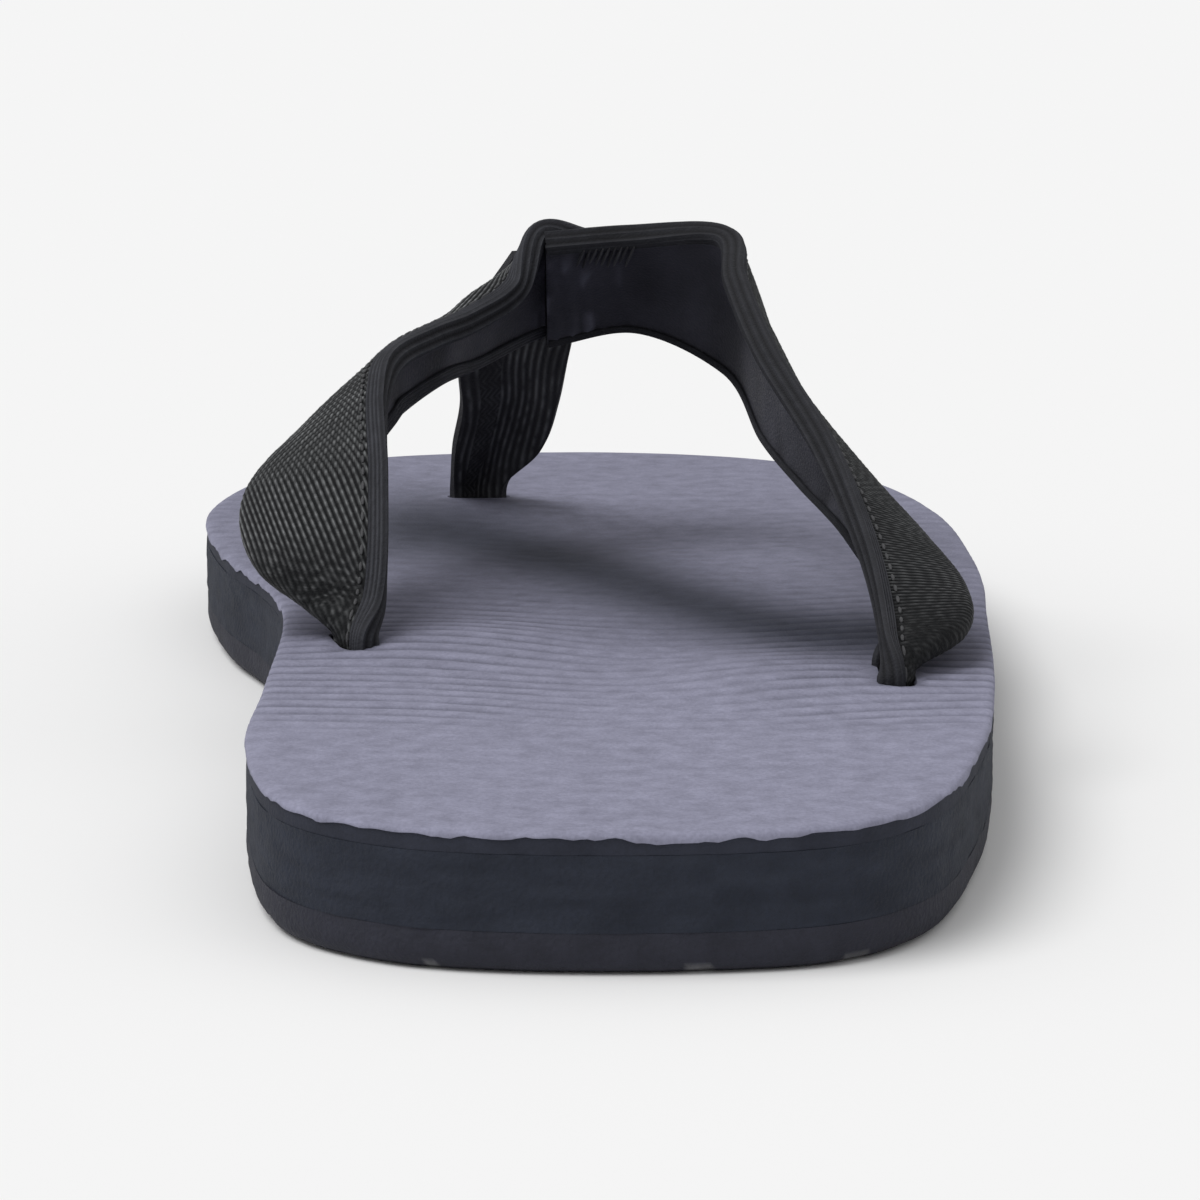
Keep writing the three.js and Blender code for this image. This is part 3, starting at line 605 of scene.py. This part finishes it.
def build_footbed():
    """The ribbed foam skin, which folds a little way down the wall."""
    body = Body()
    skin = rim_edge()
    rounding = [(INNER_INSET, 0.0), (0.8, 0.05), (0.35, 0.16), (0.1, 0.34)]
    rings = []
    for inset, drop in rounding:
        points = ring(inset, 0)
        points[:, 2] = footbed_top(points[:, 0], points[:, 1]) - drop
        rings.append((points, footbed_tone(points[:, 0], points[:, 1]) + 0.04))
    shoulder = TOP - 0.38
    for share, inset, tone in ((0.5, 0.05, 0.9), (1, 0.02, 0.75), (1, 0.22, 0.05)):
        rings.append((ring(inset, shoulder - skin * share), tone))
    seam = TOP - COVER_THICKNESS
    rings.append((ring(0.22, seam + SEAM), 0.04))
    rings.append((ring(INNER_INSET, seam + SEAM), 0))
    first, last = body.wall(rings)
    tops, bottoms = [first], [last]
    for opening in OPENINGS:
        # Painted shade: the lip round each opening is darker (tones 0.6, then 0.1 just inside) where
        # the strap shades it; deeper down, the tone is the dark foam's own colour.
        edge = [(opening_ring(opening, LIP_ROUNDING - LIP, footbed_top), 0.6),
                (opening_ring(opening, -LIP, lambda x, y: footbed_top(x, y) - 0.5), 0.1),
                (opening_ring(opening, 0, seam + SEAM), 0)]
        high, low = body.wall(edge)
        tops.append(high)
        bottoms.append(low)
    heel, ribbed, front = np.arange(1, 48, 1.5), np.arange(48, 150, 0.5), np.arange(150, 272, 1.3)
    rows = np.concatenate([heel, ribbed, front])
    plan = inside_points(ring(INNER_INSET, 0)[:, :2], rows, 1.6, 0.8)
    plan = plan[~in_opening(plan[:, 0], plan[:, 1], 0.9)]
    x, y = plan[:, 0], plan[:, 1]
    inner = body.add(np.column_stack([x, y, footbed_top(x, y)]), footbed_tone(x, y))
    body.cap(tops, inner, lambda x, y: in_opening(x, y, LIP_ROUNDING - LIP))
    body.cap(bottoms, NO_POINTS, in_opening)
    body.finish("footbed", FOOTBED, ["footbed_cover"])


SOCKET_TOP, FLANGE_TOP = 10.3, 7.3
SOCKET_MARGIN, FLANGE_MARGIN = 1.8, 3.9


def build_midsole():
    """The foam block, with a socket for each anchor plug's collar and flange underneath."""
    body = Body()
    run = OUTLINE_RUN
    top = TOP - COVER_THICKNESS - SEAM
    bottom = OUTSOLE_TOP + SEAM
    rings = [(ring(INNER_INSET, top), 0)]
    for height in np.linspace(top, bottom, 22):
        dents = 0.12 * smooth_noise(run / 3.5, 0 * run + height / 1.6, 31)
        ripple = 0.07 * smooth_noise(run / 14, 0 * run + height / 0.8, 32)
        tone = 0.45 + 0.25 * smooth_noise(run / 6, 0 * run + height / 1.1, 33)
        rings.append((ring(0.22 + dents + ripple, height), tone))
    rings.append((ring(0.6, bottom), 0))
    first, last = body.wall(rings)
    tops, bottoms = [first], [last]
    for opening in OPENINGS:
        steps = [(0, top), (0, SOCKET_TOP), (SOCKET_MARGIN, SOCKET_TOP), (SOCKET_MARGIN, FLANGE_TOP),
                 (FLANGE_MARGIN, FLANGE_TOP), (FLANGE_MARGIN, bottom)]
        high, low = body.wall([(opening_ring(opening, margin, z), 0) for margin, z in steps])
        tops.append(high)
        bottoms.append(low)
    body.cap(tops, NO_POINTS, in_opening)
    body.cap(bottoms, NO_POINTS, lambda x, y: in_opening(x, y, FLANGE_MARGIN))
    body.finish("midsole_block", MIDSOLE, ["midsole"])


TREAD_START, TREAD_END, TREAD_PITCH, TREAD_WIDTH = 16, 256, 15, 5
TREAD_DEPTH = 1.2
TREAD_INSET = 9


def tread(x, y):
    """Depth of the cross grooves under the sole."""
    share = (y - TREAD_START) % TREAD_PITCH / TREAD_WIDTH
    groove = ramp(share, 0, 0.12) * (1 - ramp(share, 0.88, 1))
    return TREAD_DEPTH * groove * ((y > TREAD_START) & (y < TREAD_END))


def build_outsole():
    """The rubber sheet, with nicks along its lower edge and cross grooves underneath."""
    body = Body()
    run = OUTLINE_RUN
    nick = np.maximum(0, smooth_noise(run / 4.3, 0 * run, 41) - 0.45)
    rings = []
    seam = OUTSOLE_TOP - SEAM
    for inset, height in ((INNER_INSET, seam), (0.22, seam), (0.16, 3.4), (0.2, 2.4), (0.4, 1.4)):
        dents = 0.1 * smooth_noise(run / 4, 0 * run + height, 42)
        rings.append((ring(inset + dents, height), 0.06))
    for inset, height in ((0.9, 0.6), (1.7, 0.2), (2.6, 0.0)):
        rings.append((ring(inset + nick, height), 0.1 + 0.9 * (nick > 0.12)))
    first, last = body.wall(rings)
    body.cap([first], NO_POINTS, no_hole)
    starts = np.arange(TREAD_START, TREAD_END, TREAD_PITCH)
    edges = [starts + share * TREAD_WIDTH for share in (0, 0.06, 0.12, 0.88, 0.94, 1)]
    between = starts + (TREAD_WIDTH + TREAD_PITCH) / 2
    rows = np.sort(np.concatenate([*edges, between]))
    plan = inside_points(ring(TREAD_INSET, 0)[:, :2], rows, 4, 0.2)
    x, y = plan[:, 0], plan[:, 1]
    land = ring(TREAD_INSET - 1, 0)
    grooved = np.column_stack([x, y, tread(x, y)])
    inner = body.add(np.vstack([land, grooved]), 0.05)
    body.cap([last], inner, no_hole)
    body.finish("outsole_sheet", OUTSOLE, ["outsole"])


# ------------------------------------------------------------------ strap layers

WEAVE_FLOAT = 1.7  # length of one visible thread on a twill rib
TWILL_HEIGHT = 0.17
POST_RIB_PITCH = 1.15
POST_RIB_HEIGHT = 0.18
HERRINGBONE = (0.18, 0.40)  # the column's two sides, as shares of the post's width
ZIGZAG_LENGTH = 1.9
ZIGZAG_PITCH = 0.9

def sheet(name, strap, span, layer, rows, columns, relief, material, node, face=1):
    """A closed layer of a strap with relief on its outer (1) or inner (-1) face."""
    u, v = np.meshgrid(np.linspace(*span, rows), np.linspace(0, 1, columns), indexing="ij")
    u, v = u.ravel(), v.ravel()
    point, normal, _ = strap.frame(u, v)
    rise, tone = relief(strap, u, v)
    fade = np.minimum(np.minimum(v, 1 - v) * 25, 1)  # no relief at the very edges
    tone = tone * fade
    low, high = layer
    high = high + (rise if face > 0 else 0) * fade
    low = low - (rise if face < 0 else 0) * fade
    body = Body()
    count = rows * columns
    shown = tone if face > 0 else 0.1 * tone
    hidden = 0.1 * tone if face > 0 else tone
    top = body.add(point + normal * np.reshape(high, (-1, 1)), shown).reshape(rows, columns)
    under = body.add(point + normal * np.reshape(low, (-1, 1)), hidden).reshape(rows, columns)
    body.grid(top)
    body.grid(under)
    border = np.concatenate([top[0], top[1:, -1], top[-1, -2::-1], top[-2:0:-1, 0]])
    body.join(border, border + count)
    body.finish(name, material, [node])


def twill(slant, pitch, painted_sheen, seed):
    """Relief of a twill webbing whose ribs lean by `slant` across for each unit along."""

    def relief(strap, u, v):
        along, across = strap.lengths(u, v)
        stretch = math.hypot(1, slant)
        bend = 0.5 * smooth_noise(along / 14, across / 14, seed)
        phase = (across - slant * along) / (pitch * stretch) + bend
        run = (along + slant * across) / stretch
        ridge = wave(phase)
        rib = np.floor(phase + 0.5)
        beat = wave(run / WEAVE_FLOAT + scatter(rib, 0 * rib, seed))
        speckle = 0.5 + 0.5 * smooth_noise(along / 0.55, across / 0.45, seed + 1)
        loose = 1 - ramp(along, 17, 30)  # the weave blurs where the strap folds into its opening
        ridge = ridge * (1 - 0.7 * loose) + 0.7 * loose * speckle
        patches = 0.78 + 0.22 * smooth_noise(along / 4, across / 3, seed + 2)
        # The tone paints highlights on the crests of the twill ribs, broken up by the weave's beat
        # and random patches.
        tone = painted_sheen * ridge**3 * (0.35 + 0.65 * beat) * patches * (1 - 0.4 * loose)
        return TWILL_HEIGHT * ridge * (0.7 + 0.3 * beat), tone

    return relief


def post_weave(strap, u, v):
    """Ribs along the toe post, with a herringbone column beside its inner edge."""
    along, across = strap.lengths(u, v)
    column = (v > HERRINGBONE[0]) & (v < HERRINGBONE[1])
    swing = 1.3 * np.abs((along / ZIGZAG_LENGTH) % 2 - 1)
    zigzag = 0.7 * wave((across + swing) / ZIGZAG_PITCH)
    ribs = wave(across / POST_RIB_PITCH + 0.25 * smooth_noise(along / 9, across / 3, 52))
    ridge = np.where(column, zigzag, ribs)
    broken = 0.55 + 0.45 * smooth_noise(along / 1.5, across / 0.8, 51)
    fade = 1 - 0.5 * ramp(along, 34, 60)
    # The tone paints highlights on the rib and zigzag crests, fewer toward the junction.
    return POST_RIB_HEIGHT * ridge, ridge**2 * broken * fade


def lining_creases(strap, u, v):
    """Soft creases along a lining, with tight pleats where it is gathered at the junction."""
    along, across = strap.lengths(u, v)
    total = strap.lengths(np.array([1.0]), np.array([0.0]))[0][0]
    gather = ramp(along, total - 14, total - 4)
    creases = smooth_noise(across / 9 + along / 30, along / 4, 61)
    pleats = wave(along / 2.3 + 0.4 * smooth_noise(along / 3, across / 4, 62)) * gather
    streaks = ramp(smooth_noise(along / 2, across / 5, 63), -0.2, 0.6)
    # The tone paints highlights on the crease rises and, in patches, on the pleat crests at the
    # junction.
    tone = 0.25 + 0.2 * creases + 0.9 * pleats * streaks
    return 0.1 * creases + 0.35 * pleats, tone


TAPE_SKIN = 0.36
TAPE_RIDGE = 0.14
TAPE_RIDGE_STEPS = 8  # crests and grooves, by turns, on each side
TAPE_ROW = 0.8


def tape(name, strap, edge, span, reach, painted_sheen, node):
    """A folded tape round one edge of an arm, ridged along its length.

    Each place of its section is (distance in from the edge, height over the middle surface).
    """
    high, low = WEBBING_SPAN[1] + TAPE_GAP, LINING_SPAN[0] - TAPE_GAP
    steps = np.arange(TAPE_RIDGE_STEPS)
    distances = reach - 0.15 - (reach - 0.2) / (TAPE_RIDGE_STEPS - 1) * steps
    crests = np.column_stack([distances, TAPE_SKIN - TAPE_RIDGE * (steps % 2)])
    outer = [(distance, high + rise) for distance, rise in crests]
    fold = [(-0.4, high - 0.1), (-0.22, high - 0.7), (-0.5, (high + low) / 2)]
    fold += [(-0.22, low + 0.7), (-0.4, low + 0.1)]
    under = [(distance, low - rise) for distance, rise in reversed(crests)]
    section = [(reach, high)] + outer + fold + under + [(reach, low), (-0.18, low), (-0.18, high)]
    # The tones paint highlights on the ridge crests and the fold's rounded edges, and shade in the
    # grooves between them.
    ridges = [0.9 - 0.55 * (step % 2) for step in steps]
    tones = np.array([0.1] + ridges + [0.7, 0.05, 0.6, 0.05, 0.7] + ridges[::-1] + [0.1, 0, 0])
    length = strap.lengths(np.array(span), np.zeros(2))[0]
    rows = int((length[1] - length[0]) / TAPE_ROW)
    u = np.linspace(*span, rows)
    run = strap.lengths(u, 0 * u)[0]
    body = Body()
    places = [strap.edge_place(u, edge, distance, height) for distance, height in section]
    rings = np.stack(places, axis=1)
    indices = []
    for i in range(rows):
        # speckle scatters the painted highlights into glints along the tape.
        speckle = scatter(np.floor(run[i] / TAPE_ROW), np.arange(len(tones)), 71)
        shade = painted_sheen * tones * (0.75 + 0.35 * speckle)
        indices.append(body.add(rings[i], shade))
    for first, second in zip(indices, indices[1:]):
        body.join(first, second)
    body.faces += [indices[0].tolist(), indices[-1].tolist()]
    body.finish(name, TAPE, [node])


STITCH_PITCH = 2.4
STITCH_LENGTH = 1.3
STITCH_RADIUS = 0.24
STITCH_PAST_TAPE = 0.6
STITCH_TONE = 0.28
BAR_TACK_STROKES = 9
BAR_TACK_HEIGHT = LINING_SPAN[0] - 0.6


def add_stitch(body, centers, normals, tone):
    """A short thread through a row of centres, thin at both ends."""
    along = np.gradient(centers, axis=0)
    side = np.cross(along, normals)
    side /= np.linalg.norm(side, axis=1, keepdims=True)
    swell = STITCH_RADIUS * np.sin(np.linspace(0.25, math.pi - 0.25, len(centers))) ** 0.6
    turns = np.linspace(0, 2 * math.pi, 8, endpoint=False)
    rings = []
    for center, normal, across, radius in zip(centers, normals, side, swell):
        circle = np.outer(np.cos(turns), normal) + np.outer(np.sin(turns), across)
        rings.append((center + radius * circle, tone))
    first, last = body.wall(rings)
    body.faces += [first.tolist(), last.tolist()]


def stitch_row(name, strap, edge, span, inset, node):
    """Separate stitches along one edge of an arm's webbing."""
    samples = np.linspace(*span, 600)
    run = strap.lengths(samples, 0 * samples)[0]
    body = Body()
    for start in np.arange(run[0] + 0.6, run[-1] - 1.6, STITCH_PITCH):
        u = np.interp(start + np.linspace(0, STITCH_LENGTH, 7), run, samples)
        centers = strap.edge_place(u, edge, 0 * u + inset, 0 * u + WEBBING_SPAN[1] + TAPE_GAP)
        _, normals, _ = strap.frame(u, 0 * u + edge)
        add_stitch(body, centers, normals, STITCH_TONE)
    body.finish(name, THREAD, [node])


def build_bar_tack():
    """Slanting strokes of thread that close the junction, under its top edge."""
    body = Body()
    last = lateral_arm.last
    steps = np.linspace(0, 1, 9)
    for count, u in enumerate(np.linspace(last - 1.05, last - 0.45, BAR_TACK_STROKES) / last):
        reach = 0.15 + 0.09 * scatter(count, 0, 81)
        point, normal, _ = lateral_arm.frame(u + 0.008 * steps, 0.02 + reach * steps)
        tone = 0.12 + 0.3 * scatter(count, 1, 81)
        add_stitch(body, point + normal * BAR_TACK_HEIGHT, normal, tone)
    body.finish("bar_tack", THREAD, ["junction_bar_tack"])


def build_arm(name, strap, relief, grid, reach, painted_sheen, lining_short, tape_short):
    """One arm: webbing, lining, a tape round each edge and a row of stitches beside each tape.

    `reach` is how far the tapes come onto the webbing, and the last two values are how many
    stations before the arm's end the lining and the tapes stop.
    """
    sheet(f"{name}_webbing", strap, (0, 1), WEBBING_SPAN, *grid, relief, WEBBING,
          f"{name}_strap_webbing")
    lining = (0, (strap.last - lining_short) / strap.last)
    sheet(f"{name}_lining", strap, lining, LINING_SPAN, 200, 40, lining_creases, LINING,
          f"{name}_strap_lining", -1)
    trim = (1.5 / strap.last, (strap.last - tape_short) / strap.last)
    for edge, side in enumerate(("rear", "front")):
        tape(f"{name}_{side}_tape", strap, edge, trim, reach, painted_sheen, f"{name}_{side}_binding")
        stitch_row(f"{name}_{side}_stitches", strap, edge, trim, reach + STITCH_PAST_TAPE,
                   f"{name}_{side}_stitching")


def build_straps():
    # painted_sheen scales the painted highlights on the webbing's ribs and on the tapes.
    medial_twill = twill(slant=0.3, pitch=0.66, painted_sheen=1, seed=1)
    lateral_twill = twill(slant=2.4, pitch=0.66, painted_sheen=0.48, seed=2)
    build_arm("medial", medial_arm, medial_twill, grid=(260, 230), reach=2.1, painted_sheen=1,
              lining_short=0.6, tape_short=0)
    build_arm("lateral", lateral_arm, lateral_twill, grid=(900, 90), reach=1.3, painted_sheen=0.7,
              lining_short=0, tape_short=0.02)
    sheet("toe_post", toe_post, (0, 1), POST_SPAN, 160, 110, post_weave, POST,
          "toe_post_webbing", -1)
    build_bar_tack()


# ------------------------------------------------------------------ stage

CAMERA_PLACE = (0, -508.9, TOP + 111.5)
CAMERA_PITCH = 9.782
CAMERA_LENS = 154.44
FLOOR_REACH = 12.0  # metres


def make_camera():
    data = bpy.data.cameras.new("camera")
    data.lens = CAMERA_LENS
    data.sensor_width = 36
    data.clip_end = 50
    camera = bpy.data.objects.new("camera", data)
    camera.location = Vector(to_world(CAMERA_PLACE))
    camera.rotation_euler = (math.radians(90 - CAMERA_PITCH), 0, 0)
    bpy.context.collection.objects.link(camera)
    bpy.context.scene.camera = camera


def make_floor():
    mesh = bpy.data.meshes.new("floor")
    reach = FLOOR_REACH
    corners = [(-reach, -reach, 0), (reach, -reach, 0), (reach, reach, 0), (-reach, reach, 0)]
    mesh.from_pydata(corners, [], [(0, 1, 2, 3)])
    material = bpy.data.materials.new("floor")
    material.use_nodes = True
    shader = material.node_tree.nodes["Principled BSDF"]
    shader.inputs["Base Color"].default_value = (0.93, 0.93, 0.93, 1)
    shader.inputs["Roughness"].default_value = 1
    shader.inputs["Specular IOR Level"].default_value = 0
    mesh.materials.append(material)
    floor = bpy.data.objects.new("floor", mesh)
    bpy.context.collection.objects.link(floor)


def make_sun(name, energy, spread, tilt_x, tilt_y):
    """A distant light; its spread and tilts are in degrees."""
    data = bpy.data.lights.new(name, "SUN")
    data.energy = energy
    data.angle = math.radians(spread)
    sun = bpy.data.objects.new(name, data)
    sun.rotation_euler = (math.radians(tilt_x), math.radians(tilt_y), 0)
    bpy.context.collection.objects.link(sun)


def make_light():
    scene = bpy.context.scene
    scene.view_settings.view_transform = "Standard"
    world = bpy.data.worlds.new("world")
    world.use_nodes = True
    background = world.node_tree.nodes["Background"]
    background.inputs["Color"].default_value = (1, 1, 1, 1)
    background.inputs["Strength"].default_value = 0.54
    scene.world = world
    make_sun("key", 1.6, 44, 10, -28)


build_footbed()
build_midsole()
build_outsole()
build_straps()
for plug in PLUGS:
    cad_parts[plug].data.materials.clear()
    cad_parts[plug].data.materials.append(PLASTIC)
make_camera()
make_floor()
make_light()
